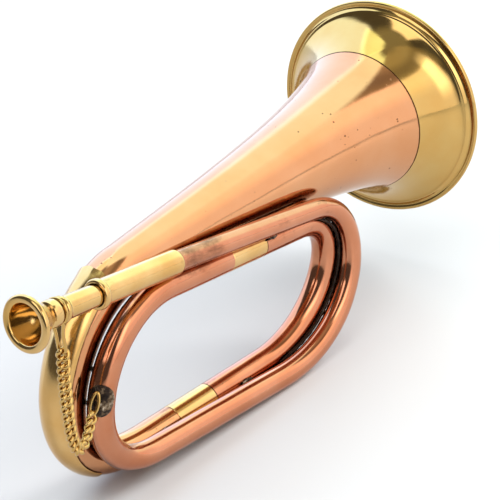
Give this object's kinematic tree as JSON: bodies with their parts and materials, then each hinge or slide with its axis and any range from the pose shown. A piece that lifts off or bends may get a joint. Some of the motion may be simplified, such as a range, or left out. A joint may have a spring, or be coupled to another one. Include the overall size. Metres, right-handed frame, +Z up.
{
  "type": "bugle",
  "caption": "Double-wound copper bugle with a brass flared bell, bow guard, ferrules and receiver, a removable cup mouthpiece and a curb chain that ties it to the coil.",
  "frame": {"origin": "centre of the bounding box on the floor plane z = 0, with the bugle standing on the two lowest bows of its coil", "axes": "+X runs along the instrument from the mouthpiece towards the bell, +Z is up, and -Y is the side that the mouthpipe is on"},
  "size_m": [0.3364, 0.1246, 0.152],
  "materials": {
    "copper": "polished copper, lightly tarnished, with small pits and scratches",
    "brass": "polished brass, slightly worn",
    "solder": "dark tarnished soft solder"
  },
  "bodies": {
    "bugle": {"mouthpipe_branch": "copper", "middle_branch": "copper", "bell_branch": "copper", "bell_flare": "brass", "rim_bead": "brass", "bow_guard": "brass", "receiver": "brass", "mouthpiece_ring": "brass", "upper_ferrule": "brass", "lower_ferrule": "brass", "receiver_stay": "brass", "chain_end_loop": "brass", "chain_link_01": "brass", "chain_link_02": "brass", "chain_link_03": "brass", "chain_link_04": "brass", "chain_link_05": "brass", "chain_link_06": "brass", "chain_link_07": "brass", "chain_link_08": "brass", "chain_link_09": "brass", "chain_link_10": "brass", "chain_link_11": "brass", "chain_link_12": "brass", "chain_link_13": "brass", "chain_link_14": "brass", "chain_link_15": "brass", "chain_link_16": "brass", "chain_link_17": "brass", "chain_link_18": "brass", "chain_link_19": "brass", "chain_link_20": "brass", "anchor_patch": "solder", "bow_stay_upper": "solder", "bow_stay_lower": "solder", "upper_seam": "solder", "lower_seam_far": "solder", "lower_seam_near": "solder", "far_bow_seam": "solder"},
    "mouthpiece": {"mouthpiece": "brass"}
  },
  "joints": [
    {"name": "mouthpiece_twist", "type": "hinge", "parent": "bugle", "child": "mouthpiece", "pos_m": [-0.16603, -0.0356, 0.13034], "axis": [0.9823, 0, -0.1874], "continuous": true}
  ]
}
